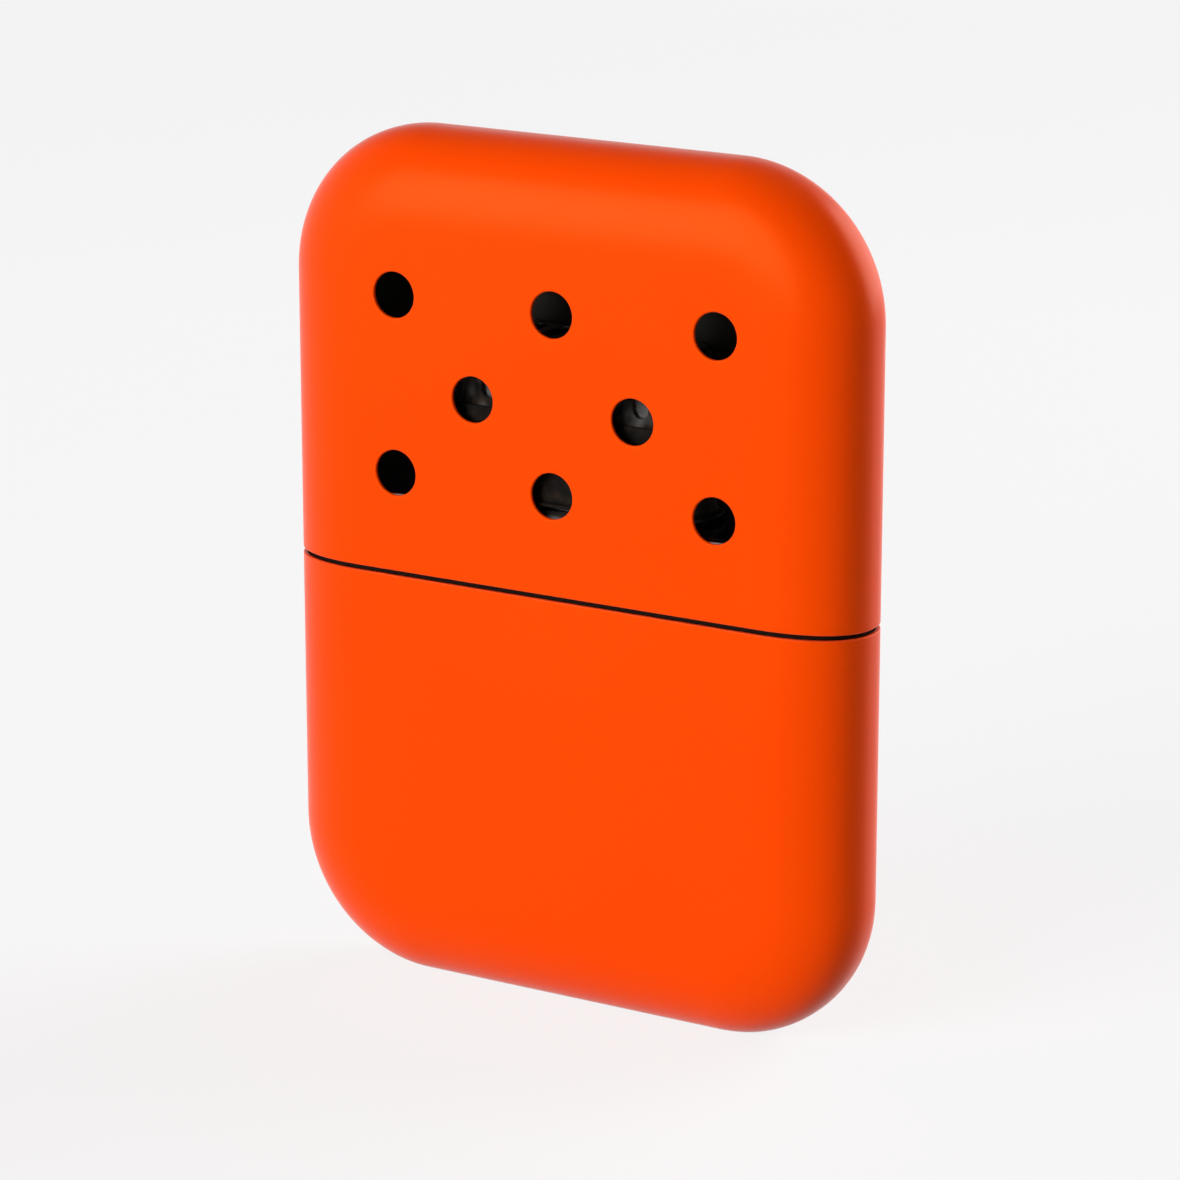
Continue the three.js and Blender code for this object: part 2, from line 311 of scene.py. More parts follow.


# Stainless steel, brushed along X, with a straw and blue bloom above tintFrom, and a dark film on
# the long walls, which face the case: fume residue, and painted shade that keeps the vents black.
def satinSteel(name, tintFrom=None):
    f = Finish(name)
    brush = f.grain(1 / steel["brushPitch"], detail=3.0, stretch=(0.04, 1, 1))
    patch = f.grain(1 / steel["patchPitch"], detail=3.0)
    tone = f.blend(patch, steel["tone"], tuple(steel["patchShare"] * t for t in steel["tone"]))
    if tintFrom is not None:
        rise = (f.along("z") - tintFrom) / steel["tintReach"]
        rise = (rise + steel["tintSpread"] * (patch - 0.5)).clamped()
        straw = (steel["strawAt"], steel["strawTone"])
        stops = [(0, steel["tone"]), straw, (1, steel["blueTone"])]
        tint = f.node("ValToRGB", {"stops": stops}, {"Fac": rise}, "Color")
        tone = f.blend(steel["tintShare"] * rise, tone, tint)
    # The soot mask here is painted shade as well as fume residue.
    out = (abs(f.along("y")) - steel["sootAndShadeFrom"]) / steel["sootAndShadeReach"]
    soot = (out + steel["sootAndShadeSpread"] * (patch - 0.5)).clamped()
    crust = f.grain(1 / steel["crustPitch"], detail=4.0)
    baked = (steel["crustContrast"] * (crust - steel["crustFrom"])).clamped()
    filmAndShade = f.blend(baked, steel["sootAndShadeTone"], steel["bakedAndShadeTone"])
    filmAndShadeRoughness = steel["sootAndShadeRoughness"] + steel["crustRoughness"] * crust
    return f.shade({
        "Base Color": f.blend(soot, tone, filmAndShade),
        "Metallic": 1 - steel["sootAndShadeCover"] * soot,
        "Roughness": steel["roughness"] + steel["brushRoughness"] * brush + soot * filmAndShadeRoughness,
        "Specular IOR Level": steel["specular"],
        "Normal": f.bump(brush, steel["brushDepth"]),
    })


fibre = {
    "tone": (0.17, 0.165, 0.16),
    "darkTone": (0.035, 0.034, 0.034),
    "threadPitch": 0.09 * mm,
    "threadDepth": 0.03 * mm,
    "threadShare": 0.6,
    "sootPitch": 1.6 * mm,
    "sootShare": 0.5,
    "roughness": 0.72,
    "roughnessSpread": 0.2,
    "sheen": 0.15,
}


# Woven glass yarn, darkened by the metal deposited on it.
def catalystFibre():
    f = Finish("catalystFibre")
    thread = f.grain(1 / fibre["threadPitch"], detail=3.0, stretch=(1, 1, 0.35))
    soot = f.grain(1 / fibre["sootPitch"], detail=4.0)
    light = (fibre["threadShare"] * thread + fibre["sootShare"] * soot).clamped()
    return f.shade({
        "Base Color": f.blend(light, fibre["darkTone"], fibre["tone"]),
        "Roughness": fibre["roughness"] + fibre["roughnessSpread"] * soot,
        "Sheen Weight": fibre["sheen"],
        "Normal": f.bump(thread, fibre["threadDepth"]),
    })


wool = {
    "hairPitch": 0.12 * mm,
    "hairDepth": 0.06 * mm,
    "hairShare": 0.5,
    "clumpShare": 0.6,
    "roughness": 0.9,
    "roughnessSpread": 0.08,
    "sheen": 0.3,
    "sheenRoughness": 0.5,
}


# Matted wool or cotton hairs, in two tones.
def mattedHair(name, tone, shadeTone, clumpPitch):
    f = Finish(name)
    hair = f.grain(1 / wool["hairPitch"], detail=5.0, stretch=(1, 0.5, 0.7), roughness=0.7)
    clump = f.grain(1 / clumpPitch, detail=3.0)
    light = (wool["hairShare"] * hair + wool["clumpShare"] * clump).clamped()
    return f.shade({
        "Base Color": f.blend(light, shadeTone, tone),
        "Roughness": wool["roughness"] + wool["roughnessSpread"] * hair,
        "Sheen Weight": wool["sheen"],
        "Sheen Roughness": wool["sheenRoughness"],
        "Normal": f.bump(hair, wool["hairDepth"]),
    })


# Meshes, and the settings of the tools that make them
workshop = {
    "mergeReach": 0.0004 * mm,
    "sliceReach": 0.0001 * mm,
    "sharpDegrees": 40,
    "flatWeight": 90,
    "punchOverrun": 0.5 * mm,
    "punchEdgeSteps": 5,
}


def objectFrom(bm, name):
    bmesh.ops.remove_doubles(bm, verts=bm.verts, dist=workshop["mergeReach"])
    bmesh.ops.recalc_face_normals(bm, faces=bm.faces)
    mesh = bpy.data.meshes.new(name)
    bm.to_mesh(mesh)
    bm.free()
    made = bpy.data.objects.new(name, mesh)
    bpy.context.scene.collection.objects.link(made)
    return made


# Replaces an object's mesh by what its modifiers make of it.
def applyModifiers(piece):
    bpy.context.view_layer.update()
    graph = bpy.context.evaluated_depsgraph_get()
    mesh = bpy.data.meshes.new_from_object(piece.evaluated_get(graph), depsgraph=graph)
    piece.modifiers.clear()
    old = piece.data
    piece.data = mesh
    mesh.name = piece.name
    bpy.data.meshes.remove(old)


def combine(piece, tools, operation):
    bm = bmesh.new()
    for tool in tools:
        bm.from_mesh(tool.data)
    joined = objectFrom(bm, "tool")
    for tool in tools:
        bpy.data.objects.remove(tool)
    modifier = piece.modifiers.new("cut", "BOOLEAN")
    modifier.operation = operation
    modifier.solver = "EXACT"
    modifier.object = joined
    applyModifiers(piece)
    bpy.data.objects.remove(joined)


# Smooth shading that keeps the flats flat.
def smooth(piece):
    mesh = piece.data
    mesh.shade_smooth()
    mesh.set_sharp_from_angle(angle=math.radians(workshop["sharpDegrees"]))
    weighted = piece.modifiers.new("weighted", "WEIGHTED_NORMAL")
    weighted.keep_sharp = True
    weighted.weight = workshop["flatWeight"]


# Quads between rings that have the same number of points.
def skinRings(bm, rings, capFirst=True, capLast=True):
    rows = [[bm.verts.new(point) for point in ring] for ring in rings]
    count = len(rows[0])
    faces = []
    for here, there in zip(rows, rows[1:]):
        for i in range(count):
            j = (i + 1) % count
            faces.append(bm.faces.new((here[i], here[j], there[j], there[i])))
    if capFirst:
        faces.append(bm.faces.new(rows[0][::-1]))
    if capLast:
        faces.append(bm.faces.new(rows[-1]))
    return faces


# Places round a stadium: [how far along X, which way the section faces].
def stadiumStations(run, arcSteps, runSteps):
    stations = []
    for side in (1, -1):
        start = -side * quarter
        for i in range(arcSteps + 1):
            stations.append((side * run, start + math.pi * i / arcSteps))
        for i in range(1, runSteps):
            stations.append((side * run * (1 - 2 * i / runSteps), start + math.pi))
    return stations


# A profile of [radius, height] points revolved and stretched along X.
# It closes on itself, or starts and ends on the axis.
def stretchedLathe(name, profile, run, arcSteps=28, runSteps=1):
    bm = bmesh.new()
    onAxis = profile[0][0] == 0
    columns = []
    for x, turn in stadiumStations(run, arcSteps, runSteps):
        out = Vector((math.cos(turn), math.sin(turn), 0))
        columns.append([bm.verts.new(Vector((x, 0, z)) + r * out) for r, z in profile])
    for here, there in zip(columns, columns[1:] + columns[:1]):
        for i in range(len(profile) - (1 if onAxis else 0)):
            j = (i + 1) % len(profile)
            bm.faces.new((here[i], there[i], there[j], here[j]))
    return objectFrom(bm, name)


# Points of a round bend about [r, z], from one angle to another, in quarter turns.
def bend(r, z, radius, start, end, steps=8):
    turns = [(start + (end - start) * i / steps) * quarter for i in range(steps + 1)]
    return [(r + radius * math.cos(turn), z + radius * math.sin(turn)) for turn in turns]


# A punch for a round or slotted hole through a sheet that lies from height 0 to sheet, with the
# rounding that it leaves on both edges.
def punch(radius, sheet, rounding, run=0.0, arcSteps=20):
    reach = 2 * sheet + workshop["punchOverrun"]
    wide = radius + rounding
    steps = workshop["punchEdgeSteps"]
    profile = [(0, -reach), (wide, -reach), (wide, 0)]
    for i in range(1, steps + 1):
        turn = quarter * i / steps
        profile.append((wide - rounding * math.sin(turn), rounding * (1 - math.cos(turn))))
    profile += [(r, sheet - z) for r, z in reversed(profile[2:])]
    profile += [(wide, sheet + reach), (0, sheet + reach)]
    return stretchedLathe("punch", profile, run, arcSteps)


def placed(tool, matrix):
    tool.data.transform(matrix)
    return tool


def finishPiece(piece, body, slot, material, *nodes):
    piece.data.materials.clear()
    piece.data.materials.append(material)
    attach(piece, body)
    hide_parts(*nodes)


# Outer form of the case, whose overall sizes are read from the frame
case = {
    "cornerRadius": 16.6 * mm,
    "edgeBand": 10.8 * mm,
    "edgePower": 2.3,
    "footTrim": 0.5 * mm,
    "footSoftness": 0.12 * mm,
    "sheet": 0.5 * mm,
    "rimRounding": 0.16 * mm,
    "rimSteps": 3,
    "rimBareAndShadeShare": 0.1,
    "cornerSteps": 32,
    "bandSteps": 28,
}
width = cadHigh.x - cadLow.x
depth = cadHigh.y - cadLow.y
height = cadHigh.z
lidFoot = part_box("lid_shell")[0].z
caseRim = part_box("lower_case")[1].z
jointLine = (lidFoot + caseRim) / 2


# The rounded edge from the front face round to the back face: [how far in, how far along Y].
def wholeEdge(inset):
    steps = case["bandSteps"]
    power = 2 / case["edgePower"]
    half = []
    for i in range(steps + 1):
        turn = quarter * i / steps
        across = 0 if i == steps else math.cos(turn) ** power
        y = (depth / 2 - inset) * math.sin(turn) ** power
        half.append(((case["edgeBand"] - inset) * (1 - across), y))
    return [(back, -y) for back, y in half[:0:-1]] + half


# The round-cornered outline at one depth, seen from the front, over some of its four corners.
def outline(inset, y, corners=range(4)):
    radius = case["cornerRadius"] - inset
    middleX = width / 2 - inset - radius
    lowZ = inset - case["footTrim"] + radius
    highZ = height - inset - radius
    centres = [(middleX, highZ), (-middleX, highZ), (-middleX, lowZ), (middleX, lowZ)]
    ring = []
    for k in corners:
        x, z = centres[k]
        for i in range(case["cornerSteps"] + 1):
            turn = (k + i / case["cornerSteps"]) * quarter
            ring.append(Vector((x + radius * math.cos(turn), y, z + radius * math.sin(turn))))
    return ring


# The form's level section through its straight stretch, set in by inset.
def levelSection(inset, z):
    edge = wholeEdge(inset)
    reach = width / 2 - inset
    right = [Vector((reach - back, y, z)) for back, y in edge]
    left = [Vector((back - reach, y, z)) for back, y in edge]
    return right + left[::-1]


def slicePlane(bm, z, keepAbove):
    geometry = bm.verts[:] + bm.edges[:] + bm.faces[:]
    side = {"clear_inner": keepAbove, "clear_outer": not keepAbove}
    bmesh.ops.bisect_plane(
        bm, geom=geometry, dist=workshop["sliceReach"], plane_co=(0, 0, z), plane_no=(0, 0, 1), **side
    )


def openEdges(bm):
    return [edge for edge in bm.edges if len(edge.link_faces) == 1]


# One skin of half of the case, from its rim round over the top, or down under the foot.
def halfSkin(bm, inset, rimZ, upper):
    paths = []
    for back, y in wholeEdge(inset):
        reach = width / 2 - inset - back
        side = 1 if upper else -1
        path = [Vector((side * reach, y, rimZ))]
        path += outline(inset + back, y, (0, 1) if upper else (2, 3))
        path.append(Vector((-side * reach, y, rimZ)))
        if not upper:
            for point in path:
                over = point.z - inset
                point.z = inset + (over + math.hypot(over, case["footSoftness"])) / 2
        paths.append([bm.verts.new(point) for point in path])
    faces = [bm.faces.new(paths[0]), bm.faces.new(paths[-1][::-1])]
    for here, there in zip(paths, paths[1:]):
        for i in range(len(here) - 1):
            faces.append(bm.faces.new((here[i], there[i], there[i + 1], here[i + 1])))
    return faces


# Half of the case: the outer and the inner skin, joined by a rounded rim at rimHeight.
def caseHalf(name, rimHeight, upper):
    bm = bmesh.new()
    inside = bm.faces.layers.float.new("inside")
    sheet = case["sheet"]
    rounding = case["rimRounding"]
    side = 1 if upper else -1
    rimZ = rimHeight + side * rounding
    halfSkin(bm, 0, rimZ, upper)
    for face in halfSkin(bm, sheet, rimZ, upper):
        face[inside] = 1.0
    rings = []
    for middle, start in ((rounding, 2), (sheet - rounding, 3)):
        for inset, z in bend(middle, 0, rounding, start, start + 1, case["rimSteps"]):
            rings.append(levelSection(inset, rimZ + side * z))
    # The rim takes a little of the inside tone: a bare cut edge, with a little of its painted shade in
    # the joint line.
    for face in skinRings(bm, rings, capFirst=False, capLast=False):
        face[inside] = case["rimBareAndShadeShare"]
    return objectFrom(bm, name)


# Lid
lid = {
    "ventRadius": 2.5 * mm,
    "ventColumnPitch": 19.6 * mm,
    "ventRowPitch": 19.5 * mm,
    "ventLowerRise": 11.2 * mm,
    "ventMiddleDrop": 0.5 * mm,
    "ventRounding": 0.2 * mm,
    "ventSteps": 32,
}


def ventPlaces():
    lower = jointLine + lid["ventLowerRise"]
    middle = lower + lid["ventRowPitch"] / 2 - lid["ventMiddleDrop"]
    rows = [lower, lower + lid["ventRowPitch"]]
    places = [(column * lid["ventColumnPitch"], z) for column in (-1, 0, 1) for z in rows]
    return places + [(side * lid["ventColumnPitch"] / 2, middle) for side in (-1, 1)]


def makeLid():
    shell = caseHalf("lidShell", lidFoot, upper=True)
    punches = []
    for x, z in ventPlaces():
        tool = punch(
            lid["ventRadius"], case["sheet"], lid["ventRounding"], arcSteps=lid["ventSteps"]
        )
        turn = Matrix.Translation((x, -depth / 2, z)) @ Matrix.Rotation(-quarter, 4, "X")
        punches.append(placed(tool, turn))
    combine(shell, punches, "DIFFERENCE")
    smooth(shell)
    finishPiece(shell, "lid", "orange_paint", orangeEnamel(), "lid_shell")


# Lower case
def makeLowerCase():
    shell = caseHalf("lowerCase", caseRim, upper=False)
    smooth(shell)
    finishPiece(shell, "tank", "orange_paint", bpy.data.materials["orangeEnamel"], "lower_case")


# Collar, the plated inner shell
collar = {
    "sheet": 0.4 * mm,
    "fit": 0.25 * mm,
    "shoulderRadius": 1.4 * mm,
    "shoulderSteps": 10,
    "bumpRadius": 3 * mm,
    "bumpSides": 96,
    "bumpCapShare": 0.9,
    "bumpHeight": 0.13 * mm,
    "bumpSpread": 38 * mm,
    "bumpRise": 4.6 * mm,
    "mouthRounding": 0.15 * mm,
}
neck = {
    "length": 30 * mm,
    "breadth": 8 * mm,
    "sheet": 0.4 * mm,
    "flange": 0.7 * mm,
    "lip": 0.19 * mm,
    "filletSteps": 4,
    "lipSteps": 5,
}
neckRun = (neck["length"] - neck["breadth"]) / 2


def makeCollar():
    low, high = (corner.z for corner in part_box("collar_shell"))
    inset = case["sheet"] + collar["fit"]
    skins = []
    for thick in (0, collar["sheet"]):
        radius = collar["shoulderRadius"] - thick
        rings = [levelSection(inset + thick, low)]
        for i in range(collar["shoulderSteps"] + 1):
            turn = quarter * i / collar["shoulderSteps"]
            back = inset + thick + radius * (1 - math.cos(turn))
            rings.append(levelSection(back, high - thick - radius * (1 - math.sin(turn))))
        skins.append(rings)
    bm = bmesh.new()
    skinRings(bm, skins[0][::-1] + skins[1])
    shell = objectFrom(bm, "collarShell")
    bumps = []
    for x in (-collar["bumpSpread"] / 2, collar["bumpSpread"] / 2):
        for side in (-1, 1):
            ball = bmesh.new()
            sides = collar["bumpSides"]
            ballRadius = collar["bumpRadius"]
            bmesh.ops.create_uvsphere(ball, u_segments=sides, v_segments=sides, radius=ballRadius)
            y = side * (depth / 2 - inset + collar["bumpHeight"] - ballRadius)
            bmesh.ops.rotate(ball, verts=ball.verts, matrix=Matrix.Rotation(quarter, 3, "X"))
            away = [v for v in ball.verts if v.co.y * side < collar["bumpCapShare"] * ballRadius]
            bmesh.ops.delete(ball, geom=away, context="VERTS")
            bmesh.ops.contextual_create(ball, geom=openEdges(ball))
            bmesh.ops.translate(ball, verts=ball.verts, vec=(x, y, jointLine + collar["bumpRise"]))
            bumps.append(objectFrom(ball, "bump"))
    combine(shell, bumps, "UNION")
    mouth = punch(
        neck["breadth"] / 2 + collar["fit"], collar["sheet"], collar["mouthRounding"], neckRun
    )
    combine(shell, [placed(mouth, Matrix.Translation((0, 0, high - collar["sheet"])))], "DIFFERENCE")
    smooth(shell)
    finish = brightPlate("collarPlate", jointLine, high)
    finishPiece(shell, "tank", "bright_plate", finish, "collar_shell")


def makeNeck():
    low, high = (corner.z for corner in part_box("neck_tube"))
    outer = neck["breadth"] / 2
    bore = outer - neck["sheet"]
    lip = neck["lip"]
    flangeTop = low + neck["sheet"]
    profile = [(bore, low), (outer + neck["flange"], low), (outer + neck["flange"], flangeTop)]
    profile += bend(outer + lip, flangeTop + lip, lip, 3, 2, neck["filletSteps"])
    profile += bend(outer - lip, high - lip, lip, 0, 1, neck["lipSteps"])
    profile += bend(bore + lip, high - lip, lip, 1, 2, neck["lipSteps"])
    tube = stretchedLathe("neckTube", profile, neckRun)
    smooth(tube)
    finishPiece(tube, "tank", "bright_plate", brightPlate("neckPlate"), "neck_tube")


# Burner
burner = {
    "sheet": 0.4 * mm,
    "foot": 0.8 * mm,
    "footRadius": 0.9 * mm,
    "rim": 2.2 * mm,
    "ledgeReach": 1.4 * mm,
    "seatGap": 0.3 * mm,
    "edge": 0.12 * mm,
    "edgeSteps": 4,
}
cage = {
    "fit": 0.25 * mm,
    "edgeRadius": 1.1 * mm,
    "windowWidth": 1.9 * mm,
    "windowHeight": 5 * mm,
    "windowPitch": 3.1 * mm,
    "windowRise": 2.7 * mm,
    "windowCount": 7,
    "topSlotLength": 4.8 * mm,
    "endWindowWidth": 2.2 * mm,
    "windowRounding": 0.1 * mm,
    "windowSteps": 12,
}
skirtBore = neck["breadth"] / 2 + burner["seatGap"]
cageOuter = skirtBore - cage["fit"]
cageBore = cageOuter - burner["sheet"]


def makeBurnerBase():
    foot, high = (corner.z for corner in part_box("burner_base"))
    sheet = burner["sheet"]
    radius = burner["footRadius"]
    flare = radius - sheet
    outer = skirtBore + sheet
    edge = outer + burner["foot"]
    ledgeTop = high - burner["rim"]
    ledge = skirtBore - burner["ledgeReach"]
    small = burner["edge"]
    steps = burner["edgeSteps"]
    profile = bend(skirtBore + radius, foot + radius, radius, 2, 3)
    profile += bend(edge - sheet / 2, foot + sheet / 2, sheet / 2, -1, 1)
    profile += bend(outer + flare, foot + sheet + flare, flare, 3, 2)
    profile += bend(outer - small, high - small, small, 0, 1, steps)
    profile += bend(skirtBore + small, high - small, small, 1, 2, steps)
    profile += [(skirtBore, ledgeTop)]
    profile += bend(ledge + small, ledgeTop - small, small, 1, 2, steps)
    profile += bend(ledge + small, ledgeTop - sheet + small, small, 2, 3, steps)
    profile += [(skirtBore, ledgeTop - sheet)]
    base = stretchedLathe("burnerBase", profile, neckRun)
    smooth(base)
    finishPiece(base, "burner", "burner_steel", satinSteel("baseSteel"), "burner_base")


def makeCage():
    low, high = (corner.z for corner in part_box("burner_cage"))
    sheet = burner["sheet"]
    outer = cage["edgeRadius"]
    inner = outer - sheet
    profile = [(0, high - sheet)]
    profile += bend(cageBore - inner, high - sheet - inner, inner, 1, 0)
    profile += [(cageBore, low), (cageOuter, low)]
    profile += bend(cageOuter - outer, high - outer, outer, 0, 1)
    profile += [(0, high)]
    shell = stretchedLathe("burnerCage", profile, neckRun)
    middle = low + cage["windowRise"] + cage["windowHeight"] / 2
    sideRun = (cage["windowHeight"] - cage["windowWidth"]) / 2
    topRun = (cage["topSlotLength"] - cage["windowWidth"]) / 2
    endRun = (cage["windowHeight"] - cage["endWindowWidth"]) / 2
    upright = Matrix.Rotation(quarter, 4, "Y")
    rounding = cage["windowRounding"]
    steps = cage["windowSteps"]
    tools = []
    for i in range(cage["windowCount"]):
        x = (i - (cage["windowCount"] - 1) / 2) * cage["windowPitch"]
        for side in (1, -1):
            tool = punch(cage["windowWidth"] / 2, sheet, rounding, sideRun, steps)
            facing = Matrix.Rotation(side * quarter, 4, "Z") @ upright
            tools.append(placed(tool, Matrix.Translation((x, side * cageBore, middle)) @ facing))
        tool = punch(cage["windowWidth"] / 2, sheet, rounding, topRun, steps)
        across = Matrix.Rotation(quarter, 4, "Z")
        tools.append(placed(tool, Matrix.Translation((x, 0, high - sheet)) @ across))
    for side in (1, -1):
        tool = punch(cage["endWindowWidth"] / 2, sheet, rounding, endRun, steps)
        facing = Matrix.Rotation((1 - side) * quarter, 4, "Z") @ upright
        place = Matrix.Translation((side * (neckRun + cageBore), 0, middle))
        tools.append(placed(tool, place @ facing))
    combine(shell, tools, "DIFFERENCE")
    smooth(shell)
    tinted = satinSteel("cageSteel", low + cage["windowRise"])
    finishPiece(shell, "burner", "burner_steel", tinted, "burner_cage")


screen = {
    "hole": 0.65 * mm,
    "pitch": 2.4 * mm,
    "columns": 9,
    "rows": 3,
    "rounding": 0.05 * mm,
    "holeSteps": 10,
}


def makeScreen():
    low, high = (corner.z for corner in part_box("catalyst_screen"))
    sheet = high - low
    radius = cageBore - cage["fit"]
    profile = [(0, low), (radius, low), (radius, high), (0, high)]
    disc = stretchedLathe("catalystScreen", profile, neckRun)
    tools = []
    for row in range(screen["rows"]):
        y = (row - (screen["rows"] - 1) / 2) * screen["pitch"] * math.sqrt(3) / 2
        shift = screen["pitch"] / 2 if row % 2 else 0
        for column in range(screen["columns"]):
            x = (column - (screen["columns"] - 1) / 2) * screen["pitch"] + shift
            tool = punch(
                screen["hole"], sheet, screen["rounding"], arcSteps=screen["holeSteps"]
            )
            tools.append(placed(tool, Matrix.Translation((x, y, low))))
    combine(disc, tools, "DIFFERENCE")
    smooth(disc)
    finishPiece(disc, "burner", "burner_steel", satinSteel("screenSteel"), "catalyst_screen")


# Soft pieces
# Moves each vertex along its normal, as far as amount says for its place and normal.
def pushAlongNormals(piece, amount):
    mesh = piece.data
    normals = [vertex.normal.copy() for vertex in mesh.vertices]
    for vertex, normal in zip(mesh.vertices, normals):
        vertex.co += normal * amount(vertex.co, normal)
    mesh.update()


# A block with crowned edges, fine enough for its surface to be shaped.
def crownedBlock(name, low, high, radius, form):
    crown = form["crown"]
    flat = radius - crown
    straight = high - low - 2 * crown
    shares = [i / form["flatSteps"] for i in range(form["flatSteps"])]
    walls = form["wallSteps"]
    profile = [(flat * share, low) for share in shares]
    profile += bend(flat, low + crown, crown, -1, 0, form["crownSteps"])
    profile += [(radius, low + crown + straight * i / walls) for i in range(1, walls)]
    profile += bend(flat, high - crown, crown, 0, 1, form["crownSteps"])
    profile += [(flat * share, high) for share in reversed(shares)]
    return stretchedLathe(name, profile, neckRun, form["arcSteps"], form["runSteps"])


pad = {
    "crown": 0.8 * mm,
    "flatSteps": 16,
    "crownSteps": 6,
    "wallSteps": 40,
    "arcSteps": 64,
    "runSteps": 130,
    "levelNormal": 0.7,
    "yarnPitch": 0.85 * mm,
    "yarnDepth": 0.11 * mm,
    "lumpPitch": 4 * mm,
    "lumpDepth": 0.12 * mm,
}


# The catalyst: a pad wrapped in plain-woven glass yarn.
def makeCatalyst():
    low, high = (corner.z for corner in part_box("catalyst_pad"))
    radius = cageBore - cage["fit"]
    core = crownedBlock("catalystPad", low, high, radius, pad)

    def weave(co, normal):
        level = abs(normal.z) > pad["levelNormal"]
        u = co.x
        if not level and abs(co.x) > neckRun:
            side = math.copysign(1, co.x)
            u = side * (neckRun + radius * math.atan2(abs(co.x) - neckRun, abs(co.y)))
        v = co.y if level else co.z
        warp = math.sin(math.pi * u / pad["yarnPitch"])
        weft = math.sin(math.pi * v / pad["yarnPitch"])
        yarn = 0.5 * (1 + warp * weft) * math.sqrt(abs(warp)) * math.sqrt(abs(weft))
        lump = noise.noise(co / pad["lumpPitch"])
        return (yarn - 1) * pad["yarnDepth"] - pad["lumpDepth"] * (0.5 + 0.5 * lump)

    pushAlongNormals(core, weave)
    core.data.shade_smooth()
    finishPiece(core, "burner", "glass_fibre", catalystFibre(), "catalyst_pad")


felt = {
    "fit": 0.3 * mm,
    "crown": 0.7 * mm,
    "flatSteps": 14,
    "crownSteps": 5,
    "wallSteps": 8,
    "arcSteps": 40,
    "runSteps": 70,
    "tone": (0.80, 0.77, 0.70),
    "shadeTone": (0.56, 0.53, 0.46),
    "clumpPitch": 2 * mm,
    "fluff": 0.16 * mm,
    "fluffPitch": 0.5 * mm,
    "fluffFractal": (0.8, 2.1, 4),
    "seed": 5,
    "hairs": 240,
    "hairLength": 1.6 * mm,
    "hairRadius": 0.014 * mm,
    "hairSteps": 4,
    "hairCrook": 0.5,
    "hairLiftShare": 0.8,
    "endShare": 0.6,
    "startShare": 0.75,
    "edgeShare": 0.85,
}


# Loose hairs on a flat top at the given height: short crooked tubes that lie on it.
def addHairs(bm, top, run, radius):
    steps = felt["hairSteps"]
    crook = felt["hairCrook"]
    reach = run + felt["endShare"] * radius
    edge = felt["edgeShare"] * radius
    for _ in range(felt["hairs"]):
        x = random.uniform(-reach, reach)
        y = random.uniform(-felt["startShare"], felt["startShare"]) * radius
        heading = random.uniform(0, 2 * math.pi)
        rows = []
        for k in range(steps + 1):
            heading += random.uniform(-crook, crook)
            side = Vector((-math.sin(heading), math.cos(heading), 0)) * felt["hairRadius"]
            rise = Vector((0, 0, felt["hairRadius"]))
            arch = math.sin(math.pi * k / steps) * felt["fluff"] * felt["hairLiftShare"]
            middle = Vector((x, y, top - felt["fluff"] + arch))
            rows.append([bm.verts.new(middle + p) for p in (side, rise, -side, -rise)])
            step = felt["hairLength"] / steps
            x += math.cos(heading) * step
            y = max(-edge, min(edge, y + math.sin(heading) * step))
        for here, there in zip(rows, rows[1:]):
            for i in range(4):
                bm.faces.new((here[i], here[(i + 1) % 4], there[(i + 1) % 4], there[i]))
        bm.faces.new(rows[0][::-1])
        bm.faces.new(rows[-1])


def makeFelt():
    random.seed(felt["seed"])
    low, high = (corner.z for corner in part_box("wick_felt"))
    radius = neck["breadth"] / 2 - neck["sheet"] - felt["fit"]
    block = crownedBlock("wickFelt", low, high, radius, felt)

    def fluff(co, normal):
        near = noise.fractal(co / felt["fluffPitch"], *felt["fluffFractal"])
        return -felt["fluff"] * (0.5 + 0.5 * near)

    pushAlongNormals(block, fluff)
    bm = bmesh.new()
    bm.from_mesh(block.data)
    addHairs(bm, high, neckRun, radius)
    bm.to_mesh(block.data)
    bm.free()
    block.data.shade_smooth()
    hair = mattedHair("feltHair", felt["tone"], felt["shadeTone"], felt["clumpPitch"])
    finishPiece(block, "tank", "felt", hair, "wick_felt")


cotton = {
    "tone": (0.90, 0.89, 0.85),
    "shadeTone": (0.72, 0.70, 0.65),
    "clumpPitch": 5 * mm,
    "voxel": 0.9 * mm,
    "layerShift": 50 * mm,
    "lumpPitch": 7 * mm,
    "lumpDepth": 1.1 * mm,
    "tuftPitch": 1.6 * mm,
    "tuftDepth": 0.3 * mm,
    "tuftFractal": (0.7, 2.0, 3),
}


